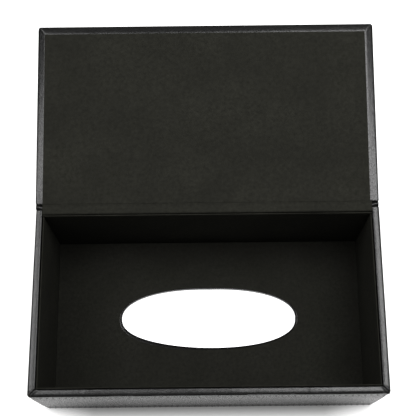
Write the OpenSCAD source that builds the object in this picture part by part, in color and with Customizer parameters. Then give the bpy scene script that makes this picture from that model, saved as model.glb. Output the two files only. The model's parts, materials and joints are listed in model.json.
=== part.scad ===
// Tissue box cover of board wrapped in black leatherette, lined with flocked card.
// It stands mouth up on its dispensing face, with the bottom flap folded back on
// its hinge, the way it is opened to put a box of tissues in.
// Frame: the origin is the middle of the outer dispensing face, +X to the right,
// +Y towards the hinge, +Z up through the mouth. Millimetres and degrees.

/* [Box] */
// Width of the box, left to right
box_w = 250; // [230:1:320]
// Depth of the box, front to hinge side
box_d = 135; // [110:1:180]
// Height of the box, dispensing face to rim
box_h = 86; // [50:1:150]

/* [Sheet materials] */
// Thickness of the boards of the box
board_t = 3.2; // [2.8:0.1:5]
// Thickness of the board in the lid
lid_board_t = 2.5; // [2.2:0.1:4]
// Thickness of the leatherette and of the hinge fabric
cover_t = 0.8; // [0.5:0.05:1]
// Thickness of the flocked card that lines the box
lining_t = 1.0; // [0.6:0.05:2]

/* [Dispensing slot] */
// Length of the slot
slot_l = 138.5; // [80:0.5:180]
// Width of the slot
slot_w = 48; // [25:0.5:80]
// Fullness of the oval: 2 is an ellipse, more is squarer
slot_fullness = 2.24; // [2:0.02:3]
// Number of points round the oval
slot_points = 96; // [48:8:120]

/* [Rim] */
// How far the leatherette and hinge fabric turn down inside the walls
turn_in = 14; // [8:1:25]
// How far the lining's top edges lie below the rim
lining_drop = 1.0; // [0.5:0.1:3]

/* [Lid and hinge] */
// Angle that the lid has turned from closed, as it lies open
lid_open = 171; // [120:1:178]
// Clearance between the closed lid and the rim
closing_gap = 0.3; // [0.2:0.05:0.6]
// Gap between the rear wall and the open lid's board
hinge_gap = 3.2; // [2.8:0.1:5]
// Width of the leatherette border round the lid's lining
lid_border = 5.7; // [3:0.1:12]
// How far left of the middle the lid's lining is glued
lining_shift = 0.9; // [0:0.1:1.5]
// Open seam where the hinge pieces meet the lid
hinge_seam = 0.05; // [0.02:0.01:0.1]

/* [Magnets] */
// Length of each bar magnet along the rim
magnet_l = 16; // [10:1:30]
// Width of each bar magnet, across its length
magnet_w = 5; // [4:0.5:8]
// Thickness of the magnets in the front wall
magnet_t = 2; // [1:0.1:2.2]
// Thickness of the magnets in the lid
lid_magnet_t = 1.5; // [1:0.1:1.8]
// From each side of the box to the middle of its magnets
magnet_inset = 47; // [20:1:90]
// Glue clearance round a magnet in its pocket
pocket_gap = 0.1; // [0.05:0.05:0.2]

/* [Hidden] */

leatherette = "#2b2b2a";
flock = "#272725";
raw_board = "#8c6f4e";
magnet_metal = "#b9bcc0";

// Over-cut that keeps cuts clear of the faces they open
eps = 1;
half_w = box_w / 2;
half_d = box_d / 2;
// Depths inward from the outer faces of the box
board_out = cover_t;
board_in = board_out + board_t;
rim_in = board_in + cover_t;
lining_in = rim_in + lining_t;
// Heights from the dispensing face
board_bottom = cover_t;
board_floor = board_bottom + board_t;
lining_floor = board_floor + lining_t;
board_top = box_h - cover_t;
lining_top = box_h - lining_drop;
turn_bottom = box_h - turn_in;

// The lid, with its faces given as it lies closed on the rim
lid_inner = box_h + closing_gap;
lid_board_bottom = lid_inner + cover_t;
lid_board_top = lid_board_bottom + lid_board_t;
lid_outer = lid_board_top + cover_t;
lid_rear = half_d - board_out;
// The line that the lid turns about
hinge_y = half_d + (hinge_gap - cover_t) / 2;
hinge_z = box_h + closing_gap / 2;

magnet_x = half_w - magnet_inset;

// Where a point of the closed lid, given as [y, z], lies once the lid is open
function opened_point(p) =
    let (dy = p[0] - hinge_y, dz = p[1] - hinge_z)
    [hinge_y + dy * cos(lid_open) + dz * sin(lid_open),
     hinge_z - dy * sin(lid_open) + dz * cos(lid_open)];

// A point on an oval of the given half sizes, at the angle a
function oval_point(half_l, half_s, a) =
    let (power = 2 / slot_fullness)
    [half_l * sign(cos(a)) * pow(abs(cos(a)), power),
     half_s * sign(sin(a)) * pow(abs(sin(a)), power)];

// The outline of the dispensing slot, grown by a margin all round
module slot_outline(margin = 0) {
    polygon([for (i = [0 : slot_points - 1])
        oval_point(slot_l / 2 + margin, slot_w / 2 + margin, i * 360 / slot_points)]);
}

// A block between two opposite corners
module block(low, high) {
    translate(low) cube(high - low);
}

// An outline of [y, z] points drawn out along X
module along_x(from, to, points) {
    translate([from, 0, 0]) rotate([90, 0, 90])
        linear_extrude(to - from) polygon(points);
}

// Turns a piece of the closed lid to where the lid lies open
module opened() {
    translate([0, hinge_y, hinge_z]) rotate([-lid_open, 0, 0])
        translate([0, -hinge_y, -hinge_z]) children();
}

// A bar magnet's block, grown by a margin all round
module front_magnet(x, margin = 0) {
    inner = -half_d + board_in;
    block([x - magnet_l / 2 - margin, inner - magnet_t - margin, board_top - magnet_w - margin],
          [x + magnet_l / 2 + margin, inner + (margin > 0 ? eps : 0), board_top + (margin > 0 ? eps : 0)]);
}

module flap_magnet(x, margin = 0) {
    front = -half_d + board_in - magnet_t;
    block([x - magnet_l / 2 - margin, front - margin, lid_board_bottom - (margin > 0 ? eps : 0)],
          [x + magnet_l / 2 + margin, front + magnet_w + margin, lid_board_bottom + lid_magnet_t + margin]);
}

// The panel with the slot, as a plate between two heights
module slotted_plate(reach_x, reach_y, bottom, top, margin = 0) {
    translate([0, 0, bottom]) linear_extrude(top - bottom) difference() {
        square([2 * reach_x, 2 * reach_y], center = true);
        slot_outline(margin);
    }
}

// Boards of the box

module top_board() {
    color(raw_board)
        slotted_plate(half_w - board_out, half_d - board_out, board_bottom, board_floor, cover_t);
}

module front_board() {
    color(raw_board) difference() {
        block([-half_w + board_out, -half_d + board_out, board_floor],
              [half_w - board_out, -half_d + board_in, board_top]);
        for (x = [-magnet_x, magnet_x]) front_magnet(x, pocket_gap);
    }
}

module rear_board() {
    color(raw_board)
        block([-half_w + board_out, half_d - board_in, board_floor],
              [half_w - board_out, half_d - board_out, board_top]);
}

module left_board() {
    color(raw_board)
        block([-half_w + board_out, -half_d + board_in, board_floor],
              [-half_w + board_in, half_d - board_in, board_top]);
}

module right_board() {
    mirror([1, 0, 0]) left_board();
}

// Leatherette of the box

module top_cover() {
    color(leatherette) {
        slotted_plate(half_w, half_d, 0, cover_t);
        translate([0, 0, cover_t / 2]) linear_extrude(board_floor - cover_t / 2) difference() {
            slot_outline(cover_t);
            slot_outline();
        }
    }
}

// Section of a wall's leatherette: up the outside, over the rim and down inside.
// Its first coordinate is the depth inward from the outer face.
wrap_section = [
    [0, cover_t], [0, box_h], [rim_in, box_h], [rim_in, turn_bottom],
    [board_in, turn_bottom], [board_in, board_top], [board_out, board_top], [board_out, cover_t]
];

module front_cover() {
    color(leatherette) intersection() {
        along_x(-half_w, half_w, [for (p = wrap_section) [p[0] - half_d, p[1]]]);
        linear_extrude(box_h) polygon([
            [-half_w, -half_d], [half_w, -half_d],
            [half_w - rim_in, -half_d + rim_in], [-half_w + rim_in, -half_d + rim_in]]);
    }
}

module left_cover() {
    color(leatherette) intersection() {
        difference() {
            translate([-half_w, half_d, 0]) rotate([90, 0, 0])
                linear_extrude(box_d) polygon(wrap_section);
            block([-half_w + board_out, half_d - board_in, 0],
                  [-half_w + rim_in + eps, half_d + eps, board_top]);
        }
        linear_extrude(box_h) polygon([
            [-half_w, -half_d], [-half_w + rim_in, -half_d + rim_in],
            [-half_w + rim_in, half_d], [-half_w, half_d]]);
    }
}

module right_cover() {
    mirror([1, 0, 0]) left_cover();
}

module rear_cover() {
    color(leatherette)
        block([-half_w + board_out, half_d - board_out, cover_t],
              [half_w - board_out, half_d, board_top - cover_t]);
}

// Flocked lining of the box

module top_lining() {
    color(flock)
        slotted_plate(half_w - board_in, half_d - board_in, board_floor, lining_floor);
}

module front_lining() {
    color(flock)
        block([-half_w + rim_in, -half_d + rim_in, lining_floor],
              [half_w - rim_in, -half_d + lining_in, lining_top]);
}

module rear_lining() {
    mirror([0, 1, 0]) front_lining();
}

module left_lining() {
    color(flock)
        block([-half_w + rim_in, -half_d + lining_in, lining_floor],
              [-half_w + lining_in, half_d - lining_in, lining_top]);
}

module right_lining() {
    mirror([1, 0, 0]) left_lining();
}

// Magnets in the front wall, under the leatherette of the rim

module rim_magnet_left() {
    color(magnet_metal) front_magnet(-magnet_x);
}

module rim_magnet_right() {
    color(magnet_metal) front_magnet(magnet_x);
}

// The lid

module lid_board() {
    color(raw_board) opened() difference() {
        block([-half_w + board_out, -half_d + board_out, lid_board_bottom],
              [half_w - board_out, lid_rear, lid_board_top]);
        for (x = [-magnet_x, magnet_x]) flap_magnet(x, pocket_gap);
    }
}

// Corners of the lid's lining, on the closed lid
lid_lining_low = [-half_w + lid_border - lining_shift, -half_d + lid_border, lid_inner];
lid_lining_high = [half_w - lid_border - lining_shift, lid_rear, lid_board_bottom];

module lid_cover() {
    color(leatherette) opened() difference() {
        block([-half_w, -half_d, lid_inner], [half_w, lid_rear, lid_outer]);
        block([-half_w + board_out, -half_d + board_out, lid_board_bottom],
              [half_w - board_out, lid_rear + eps, lid_board_top]);
        block(lid_lining_low - [0, 0, eps], lid_lining_high + [0, eps, cover_t / 2]);
    }
}

module lid_lining() {
    color(flock) opened() block(lid_lining_low, lid_lining_high);
}

module lid_magnet_left() {
    color(magnet_metal) opened() flap_magnet(-magnet_x);
}

module lid_magnet_right() {
    color(magnet_metal) opened() flap_magnet(magnet_x);
}

// The hinge: leatherette below and lining fabric above, both across the gap

// Where the strips end at the lid, a seam short of its rear edge
strip_end = lid_rear + hinge_seam;
// How far the slack leatherette sags in the gap
fold_sag = lid_board_t;

module hinge_cover() {
    lid_low = opened_point([strip_end, lid_outer]);
    lid_high = opened_point([strip_end, lid_outer - cover_t]);
    wall = half_d - board_out;
    color(leatherette) along_x(-half_w + board_out, half_w - board_out, [
        [wall, board_top - cover_t], [half_d, board_top - cover_t],
        [half_d + cover_t / 2, board_top - cover_t - fold_sag / 2],
        [hinge_y, lid_low[1] - cover_t / 2], lid_low, lid_high,
        [hinge_y + cover_t / 2, lid_high[1]],
        [half_d + cover_t * 1.5, board_top - cover_t],
        [half_d + cover_t / 2, board_top], [wall, board_top]]);
}

module hinge_lining() {
    lid_high = opened_point([strip_end, lid_inner]);
    lid_low = opened_point([strip_end, lid_inner + cover_t]);
    inner = half_d - rim_in;
    color(flock) along_x(-half_w + rim_in, half_w - rim_in, [
        [inner, turn_bottom], [inner + cover_t, turn_bottom], [inner + cover_t, board_top],
        [half_d, board_top], lid_low, lid_high, [half_d, box_h], [inner, box_h]]);
}

top_board();
front_board();
rear_board();
left_board();
right_board();
top_cover();
front_cover();
rear_cover();
left_cover();
right_cover();
top_lining();
front_lining();
rear_lining();
left_lining();
right_lining();
rim_magnet_left();
rim_magnet_right();
lid_board();
lid_cover();
lid_lining();
lid_magnet_left();
lid_magnet_right();
hinge_cover();
hinge_lining();
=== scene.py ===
# %% [markdown]
# # A leatherette tissue box cover, laid open for loading
#
# The cover is a five-sided box of thin board, wrapped in black leatherette and lined with
# flocked card. It stands mouth up on its dispensing face, and its flap lies open behind it
# on a fabric hinge.
#
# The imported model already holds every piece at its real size. This script dresses it: each
# leatherette, lining and hinge piece is made again as a finer mesh in the same place.

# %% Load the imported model
import json
import math

import bmesh
import bpy
from mathutils import Matrix, Vector, noise


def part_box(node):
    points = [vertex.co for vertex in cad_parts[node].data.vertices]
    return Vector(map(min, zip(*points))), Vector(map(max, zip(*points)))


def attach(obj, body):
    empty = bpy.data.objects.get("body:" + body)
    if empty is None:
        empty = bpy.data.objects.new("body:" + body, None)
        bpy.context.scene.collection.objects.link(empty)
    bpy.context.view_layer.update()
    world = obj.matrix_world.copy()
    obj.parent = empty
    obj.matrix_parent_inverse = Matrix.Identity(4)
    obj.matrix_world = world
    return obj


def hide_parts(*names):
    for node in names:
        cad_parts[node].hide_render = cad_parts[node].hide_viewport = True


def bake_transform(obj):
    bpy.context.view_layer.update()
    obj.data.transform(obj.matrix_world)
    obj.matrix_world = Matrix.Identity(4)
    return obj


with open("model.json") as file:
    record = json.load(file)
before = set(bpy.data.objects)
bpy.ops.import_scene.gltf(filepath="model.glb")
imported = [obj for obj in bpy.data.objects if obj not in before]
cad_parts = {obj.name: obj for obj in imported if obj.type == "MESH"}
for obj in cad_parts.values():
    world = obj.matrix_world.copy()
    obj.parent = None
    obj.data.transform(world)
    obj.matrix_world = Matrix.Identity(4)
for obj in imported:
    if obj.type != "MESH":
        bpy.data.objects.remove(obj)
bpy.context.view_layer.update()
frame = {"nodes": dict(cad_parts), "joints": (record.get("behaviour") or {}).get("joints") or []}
print("nodes in the packed model:", len(frame["nodes"]))

# %% [markdown]
# ## Sizes, read from the model
#
# A dressed piece has to fit the piece that it stands for. Its sizes could be typed in again,
# but a change to the model would then leave the two apart, so they come from the boxes of the
# nodes. The lid is easiest to build where it lies closed and level, and then to turn open:
# the hinge of the model says about which line and how far.

# %% Measure the box and the lid
mm = 0.001

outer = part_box("top_cover")[1]
half_w, half_d = outer.x, outer.y
rim_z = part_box("front_cover")[1].z
skin_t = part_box("front_board")[0].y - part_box("front_cover")[0].y
rim_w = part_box("front_cover")[1].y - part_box("front_cover")[0].y
board_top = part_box("front_board")[1].z
turn_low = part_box("hinge_lining")[0].z

hinge = frame["joints"][0]
hinge_point = Vector(hinge["pos_m"])
full_turn = math.radians(hinge["range_deg"][1])
to_closed = (
    Matrix.Translation(hinge_point)
    @ Matrix.Rotation(full_turn, 4, "X")
    @ Matrix.Translation(-hinge_point)
)
to_open = to_closed.inverted()


def closed_box(node):
    """Lowest and highest corner of a lid node, with the lid turned shut."""
    points = [to_closed @ v.co for v in frame["nodes"][node].data.vertices]
    low = Vector([min(p[i] for p in points) for i in range(3)])
    high = Vector([max(p[i] for p in points) for i in range(3)])
    return low, high


lid_low, lid_high = closed_box("lid_cover")
panel_low, panel_high = closed_box("lid_lining")
print("box, mm:", [round(v / mm, 1) for v in (2 * half_w, 2 * half_d, rim_z)])
print("lid, mm:", [round(v / mm, 1) for v in lid_high - lid_low])

# %% [markdown]
# ## The camera
#
# The photograph looks steeply down over the front wall, about 73 degrees below level, from
# three quarters of a metre. A lens of 83 mm on a 36 mm sensor gives that narrow view. A
# camera set by eye leaves the corners a few pixels out, so its place and its angles were
# found by matching the box's corners, rim, floor and slot to their real sizes.

# %% Set the camera
view_turn = math.radians(-0.244)
view_down = math.radians(73.056)
view_roll = math.radians(-0.848)
view_from = Vector((1.44, -136.19, 752.15)) * mm
image_px = 416
focal_px = 955.65

look = Vector((
    math.sin(view_turn) * math.cos(view_down),
    math.cos(view_turn) * math.cos(view_down),
    -math.sin(view_down),
))
level = Vector((math.cos(view_turn), -math.sin(view_turn), 0))
right = level * math.cos(view_roll) + level.cross(look) * math.sin(view_roll)
upward = right.cross(look)

camera_data = bpy.data.cameras.new("camera")
camera_data.sensor_width = 36
camera_data.lens = camera_data.sensor_width * focal_px / image_px
camera = bpy.data.objects.new("camera", camera_data)
bpy.context.scene.collection.objects.link(camera)
camera_axes = Matrix((right, upward, -look)).transposed()
camera.matrix_world = Matrix.Translation(view_from) @ camera_axes.to_4x4()
bpy.context.scene.camera = camera
bpy.context.scene.view_settings.view_transform = "Standard"
print("lens, mm:", round(camera_data.lens, 1))

# %% [markdown]
# ## Helpers for materials
#
# A material could be wired up in the shader editor, but a script says each value once and
# can be read from top to bottom. Colours are written as sRGB hex values, the way a paint
# chart gives them, and one function turns them to the linear values that the shaders want. A
# second function adds a node with its settings and its links.

# %% Colour and node helpers
def linear(hex_colour):
    """An sRGB hex colour as linear red, green, blue and alpha."""
    parts = [int(hex_colour[i:i + 2], 16) / 255 for i in (1, 3, 5)]
    return [c / 12.92 if c <= 0.04045 else ((c + 0.055) / 1.055) ** 2.4 for c in parts] + [1]


def add_node(tree, kind, inputs=None, **settings):
    """Adds a node. An input's value is a number, a colour or another node's output."""
    made = tree.nodes.new(kind)
    for name, value in settings.items():
        setattr(made, name, value)
    for key, value in (inputs or {}).items():
        if isinstance(value, bpy.types.NodeSocket):
            tree.links.new(value, made.inputs[key])
        else:
            made.inputs[key].default_value = value
    return made


def new_material(name):
    """An empty node material and its output node."""
    made = bpy.data.materials.new(name)
    made.use_nodes = True
    made.node_tree.nodes.clear()
    return made, made.node_tree, made.node_tree.nodes.new("ShaderNodeOutputMaterial")


print("black dye #101010, linear:", round(linear("#101010")[0], 4))

# %% [markdown]
# ## Embossed leatherette
#
# Leatherette is a woven backing coated with polyurethane, pressed between rollers that emboss
# a fine pebble grain. The coat is a plastic of refractive index 1.55, so it has a soft gloss
# that turns strong at grazing angles: that is what makes the black front wall look grey. The
# grain is about 0.7 mm across. The tops of its pebbles shine, and the valleys between them
# shade each other. A bump has no depth to do that, so a black without gloss is mixed in as
# painted shade, mostly in the valleys and a little on the tops. Cells and noise make the
# grain, because a picture of real leather would repeat. Grain this fine hardly shows in the
# picture, so shallow dimples of 4 mm are added, which stand for the uneven gloss that it has
# from further off.

# %% Leatherette material
grain_size = 0.7 * mm
dimple_size = 4 * mm
dye_size = 28 * mm
# Shares of painted shade, a black without gloss, in the valleys and on the tops of the grain.
painted_shade_in_valleys, painted_shade_on_tops = 0.75, 0.12


def embossed_leatherette():
    """Black coated cloth: glossy pebbles, painted shade in the valleys, and a slow change of the
    dye.
    """
    made, tree, output = new_material("embossed_pu_leatherette")
    place = add_node(tree, "ShaderNodeTexCoord").outputs["Object"]
    cells = add_node(tree, "ShaderNodeTexVoronoi", {
        "Vector": place, "Scale": 1 / grain_size, "Randomness": 1.0,
    }, feature="DISTANCE_TO_EDGE")
    pebbles = add_node(tree, "ShaderNodeMapRange", {
        "Value": cells.outputs["Distance"], "From Min": 0.0, "From Max": 0.25,
    }, interpolation_type="SMOOTHSTEP")
    dye = add_node(tree, "ShaderNodeTexNoise", {
        "Vector": place, "Scale": 1 / dye_size, "Detail": 3.0,
    })
    colour = add_node(tree, "ShaderNodeMix", {
        "Factor": dye.outputs["Fac"], "A": linear("#101010"), "B": linear("#161615"),
    }, data_type="RGBA")
    wear = add_node(tree, "ShaderNodeMapRange", {
        "Value": dye.outputs["Fac"], "To Min": 0.2, "To Max": 0.28,
    })
    dimples = add_node(tree, "ShaderNodeTexNoise", {
        "Vector": place, "Scale": 1 / dimple_size, "Detail": 2.0,
    })
    coarse = add_node(tree, "ShaderNodeBump", {
        "Height": dimples.outputs["Fac"], "Strength": 1.0, "Distance": 0.09 * mm,
    })
    bump = add_node(tree, "ShaderNodeBump", {
        "Height": pebbles.outputs["Result"], "Strength": 0.3, "Distance": 0.04 * mm,
        "Normal": coarse.outputs["Normal"],
    })
    shader = add_node(tree, "ShaderNodeBsdfPrincipled", {
        "Base Color": colour.outputs["Result"], "Roughness": wear.outputs["Result"],
        "IOR": 1.55, "Normal": bump.outputs["Normal"],
    })
    valleys = add_node(tree, "ShaderNodeMapRange", {
        "Value": pebbles.outputs["Result"], "To Min": painted_shade_in_valleys, "To Max": painted_shade_on_tops,
    })
    # Painted shade: a black without gloss stands in for the shade in the grain's valleys.
    painted_valley_shade = add_node(tree, "ShaderNodeBsdfDiffuse", {"Color": linear("#0c0c0c")})
    surface = add_node(tree, "ShaderNodeMixShader", {
        0: valleys.outputs["Result"], 1: shader.outputs["BSDF"], 2: painted_valley_shade.outputs["BSDF"],
    })
    tree.links.new(surface.outputs["Shader"], output.inputs["Surface"])
    return made


leatherette = embossed_leatherette()
print("material:", leatherette.name)

# %% [markdown]
# ## Flocked lining
#
# Flock is a coat of short fibres shot into glue on card. It has no gloss and drinks up light,
# so it is black between the fibres and a warm olive black on their tips. The fibres are
# 0.5 mm long and far too fine for the picture, so the nap is drawn at 0.9 mm, as coarse as it
# needs to show. Tufts of 2.6 mm lean one way or another, and blotches of 30 mm stand for the
# uneven glue below. Real hairs would cost a lot of memory and look the same from here, so
# colour and bump stand for them. The card on the panel lies at the bottom of the box, and it
# gets a darker copy of the flock, which is painted shade.

# %% Lining material
nap_size = 0.9 * mm
tuft_size = 2.6 * mm
blotch_size = 30 * mm


def flocked_lining(name, between, tips):
    """Flock with one colour between its fibres, and two for the blotches of their tips."""
    made, tree, output = new_material(name)
    place = add_node(tree, "ShaderNodeTexCoord").outputs["Object"]
    nap = add_node(tree, "ShaderNodeTexNoise", {
        "Vector": place, "Scale": 1 / nap_size, "Detail": 4.0, "Roughness": 0.7,
    })
    glue = add_node(tree, "ShaderNodeTexNoise", {
        "Vector": place, "Scale": 1 / blotch_size, "Detail": 4.0,
    })
    blotches = add_node(tree, "ShaderNodeMapRange", {
        "Value": glue.outputs["Fac"], "From Min": 0.3, "From Max": 0.7,
    })
    tint = add_node(tree, "ShaderNodeMix", {
        "Factor": blotches.outputs["Result"], "A": linear(tips[0]), "B": linear(tips[1]),
    }, data_type="RGBA")
    tufts = add_node(tree, "ShaderNodeTexNoise", {
        "Vector": place, "Scale": 1 / tuft_size, "Detail": 3.0, "Roughness": 0.6,
    })
    lean = add_node(tree, "ShaderNodeMapRange", {
        "Value": tufts.outputs["Fac"], "From Min": 0.25, "From Max": 0.75,
        "To Min": -0.3, "To Max": 0.3,
    })
    cover = add_node(tree, "ShaderNodeMath", {
        0: nap.outputs["Fac"], 1: lean.outputs["Result"],
    }, operation="ADD", use_clamp=True)
    fibres = add_node(tree, "ShaderNodeMix", {
        "Factor": cover.outputs[0], "A": linear(between), "B": tint.outputs["Result"],
    }, data_type="RGBA")
    bump = add_node(tree, "ShaderNodeBump", {
        "Height": nap.outputs["Fac"], "Strength": 0.6, "Distance": 0.15 * mm,
    })
    shader = add_node(tree, "ShaderNodeBsdfPrincipled", {
        "Base Color": fibres.outputs["Result"], "Roughness": 1.0, "IOR": 1.5,
        "Specular IOR Level": 0.03, "Normal": bump.outputs["Normal"],
    })
    tree.links.new(shader.outputs["BSDF"], output.inputs["Surface"])
    return made


flock = flocked_lining("black_flocked_card", "#191916", ("#252521", "#2c2c27"))
# The darker copy is painted shade for the card at the bottom of the box.
panel_flock_painted_shade = flocked_lining("black_flocked_panel_card_painted_shade", "#151513", ("#20201c", "#252521"))
print("materials:", flock.name, panel_flock_painted_shade.name)

# %% [markdown]
# ## Board, magnets and thread
#
# The board is medium-density fibreboard, a brown felt of pressed wood fibres. The magnets
# are plated with nickel, a warm grey metal with a satin gloss. Both are hidden, so plain
# noise is enough for their fibres and scuffs. The thread is bonded polyester, twisted from
# plies, and black. It is coloured dark grey all over, which is painted highlight. It is also
# shinier than the leatherette, so each stitch shows as a small light mark. Its plies are
# 0.3 mm apart and are drawn twice as coarse, because they wouldn't show.

# %% Board, magnet and thread materials
fibre_size = 1.2 * mm
scuff_size = 2 * mm
ply_size = 1.0 * mm


def pressed_fibreboard():
    """Brown wood felt: matt, with light and dark fibres."""
    made, tree, output = new_material("pressed_fibreboard")
    place = add_node(tree, "ShaderNodeTexCoord").outputs["Object"]
    fibre = add_node(tree, "ShaderNodeTexNoise", {
        "Vector": place, "Scale": 1 / fibre_size, "Detail": 6.0, "Roughness": 0.7,
    })
    colour = add_node(tree, "ShaderNodeMix", {
        "Factor": fibre.outputs["Fac"], "A": linear("#7a5c3d"), "B": linear("#a98a63"),
    }, data_type="RGBA")
    bump = add_node(tree, "ShaderNodeBump", {
        "Height": fibre.outputs["Fac"], "Strength": 0.3, "Distance": 0.05 * mm,
    })
    shader = add_node(tree, "ShaderNodeBsdfPrincipled", {
        "Base Color": colour.outputs["Result"], "Roughness": 0.85, "IOR": 1.5,
        "Normal": bump.outputs["Normal"],
    })
    tree.links.new(shader.outputs["BSDF"], output.inputs["Surface"])
    return made


def plated_nickel():
    """Warm grey metal, scuffed so that its gloss changes."""
    made, tree, output = new_material("plated_nickel")
    place = add_node(tree, "ShaderNodeTexCoord").outputs["Object"]
    scuffs = add_node(tree, "ShaderNodeTexNoise", {
        "Vector": place, "Scale": 1 / scuff_size, "Detail": 4.0,
    })
    satin = add_node(tree, "ShaderNodeMapRange", {
        "Value": scuffs.outputs["Fac"], "To Min": 0.18, "To Max": 0.34,
    })
    shader = add_node(tree, "ShaderNodeBsdfPrincipled", {
        "Base Color": linear("#c3beb6"), "Metallic": 1.0, "Roughness": satin.outputs["Result"],
    })
    tree.links.new(shader.outputs["BSDF"], output.inputs["Surface"])
    return made


def bonded_thread():
    """Black thread coloured dark grey as painted highlight, with the ridges of its plies and a small
    highlight of its gloss.
    """
    made, tree, output = new_material("bonded_polyester_thread")
    place = add_node(tree, "ShaderNodeTexCoord").outputs["Object"]
    plies = add_node(tree, "ShaderNodeTexWave", {
        "Vector": place, "Scale": 1 / ply_size, "Distortion": 1.5,
    }, bands_direction="DIAGONAL")
    bump = add_node(tree, "ShaderNodeBump", {
        "Height": plies.outputs["Fac"], "Strength": 0.4, "Distance": 0.05 * mm,
    })
    # The dark grey base colour is painted highlight; the thread itself is black.
    shader = add_node(tree, "ShaderNodeBsdfPrincipled", {
        "Base Color": linear("#3a3a38"), "Roughness": 0.28, "IOR": 1.55,
        "Normal": bump.outputs["Normal"],
    })
    tree.links.new(shader.outputs["BSDF"], output.inputs["Surface"])
    return made


fibreboard = pressed_fibreboard()
nickel = plated_nickel()
thread = bonded_thread()
print("materials:", fibreboard.name, nickel.name, thread.name)

# %% [markdown]
# ## Boards and magnets keep their shape
#
# These pieces are right as they are in the model, and hidden in the finished cover. To make
# them again would gain nothing, so they only get their materials.

# %% Dress the boards and magnets
kept = []
for node_name, node in frame["nodes"].items():
    if "board" in node_name or "magnet" in node_name:
        node.data.materials.clear()
        node.data.materials.append(nickel if "magnet" in node_name else fibreboard)
        kept.append(node_name)
print("kept as they are:", kept)

# %% [markdown]
# ## How the leatherette is made
#
# Glued leatherette is a sheet of one thickness that follows the board: up the outside, over
# the rim and down inside. So each piece is drawn as its outer surface only, as a section
# that is carried along the edges of the box, and a Solidify modifier gives it its thickness
# inward. At a corner, the section is cut on the mitre, and outside it rounds the corner. A
# bevel on the model's own solid would be quicker, but it gives no rows of small faces where
# the stitches and the folds need them.
#
# A station is a place along the edge. It takes a depth, counted inward from the outer face,
# and a height, and gives the point.

# %% Sections and stations
corner_r = 1.5 * mm
edge_r = 1.4 * mm


def arc(centre, radius, start, end, count):
    """Points on an arc, with its angles in degrees."""
    turns = [math.radians(start + (end - start) * i / count) for i in range(count + 1)]
    return [(centre[0] + radius * math.cos(t), centre[1] + radius * math.sin(t)) for t in turns]


def line(start, end, count):
    """Points inside a straight stretch, without its ends."""
    shares = [i / (count + 1) for i in range(1, count + 1)]
    return [tuple(a + (b - a) * s for a, b in zip(start, end)) for s in shares]


def shares_along(length, fine=0.6 * mm, zone=9 * mm, coarse=0.62 * mm):
    """Shares of a length, close together near both ends, where the folds are."""
    near = [i * fine for i in range(int(zone / fine))]
    middle = length - 2 * zone
    count = max(1, round(middle / coarse))
    places = near + [zone + middle * i / count for i in range(count + 1)]
    places += [length - p for p in reversed(near)]
    return [p / length for p in places]


def edge_stations(start, end, inward, mitred):
    """Stations along one edge. A mitred end is drawn in as the depth grows."""
    start, end, inward = Vector(start), Vector(end), Vector(inward)
    along = (end - start).normalized()
    length = (end - start).length

    def station(share):
        def at(depth, height):
            trim = [max(depth, corner_r) if cut else 0 for cut in mitred]
            run = trim[0] + (length - trim[0] - trim[1]) * share
            return (start + along * run + inward * depth).to_3d() + Vector((0, 0, height))
        return at

    return [station(s) for s in shares_along(length)]


def corner_stations(corner, inward, start, end, count=5):
    """Stations round an outside corner, between two angles in degrees."""
    corner, inward = Vector(corner), Vector(inward)

    def station(turn):
        def at(depth, height):
            way = Vector((math.cos(turn), math.sin(turn)))
            spot = corner + inward * max(depth, corner_r) + way * max(corner_r - depth, 0)
            return spot.to_3d() + Vector((0, 0, height))
        return at

    return [station(math.radians(start + (end - start) * i / count)) for i in range(count + 1)]


def carry(section, stations):
    """A sheet that carries a section of (depth, height) points along the stations."""
    sheet = bmesh.new()
    rows = [[sheet.verts.new(at(*point)) for point in section] for at in stations]
    for row, following in zip(rows, rows[1:]):
        for i in range(len(section) - 1):
            sheet.faces.new((row[i], row[i + 1], following[i + 1], following[i]))
    return sheet, rows


print("rounded edges, mm:", corner_r / mm, edge_r / mm)

# %% [markdown]
# ## From sheet to piece
#
# Every sheet ends the same way. Points that fell together at a corner are merged, the sheet
# gets its thickness, the edges sharper than 40 degrees are kept crisp, and the piece is told
# its material and its slot. The modifier could stay on the piece, but once it is applied the
# mesh is the finished form and can be measured.

# %% Finish a sheet
crisp_angle = math.radians(40)
touching, level_with = 0.001 * mm, 0.01 * mm


def unevenness(point, size, height):
    """A slow rise and fall of the surface, as glued sheets have."""
    return noise.noise(point / size) * height


def face_outward(sheet, facing):
    """Turns the faces so that most of their area looks the way given."""
    bmesh.ops.recalc_face_normals(sheet, faces=sheet.faces[:])
    facing = Vector(facing)
    if sum(face.normal.dot(facing) * face.calc_area() for face in sheet.faces) < 0:
        bmesh.ops.reverse_faces(sheet, faces=sheet.faces[:])


def bake(piece):
    """Applies the modifiers of a piece."""
    bpy.context.view_layer.update()
    graph = bpy.context.evaluated_depsgraph_get()
    finished = bpy.data.meshes.new_from_object(piece.evaluated_get(graph))
    piece.modifiers.clear()
    piece.data = finished


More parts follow.
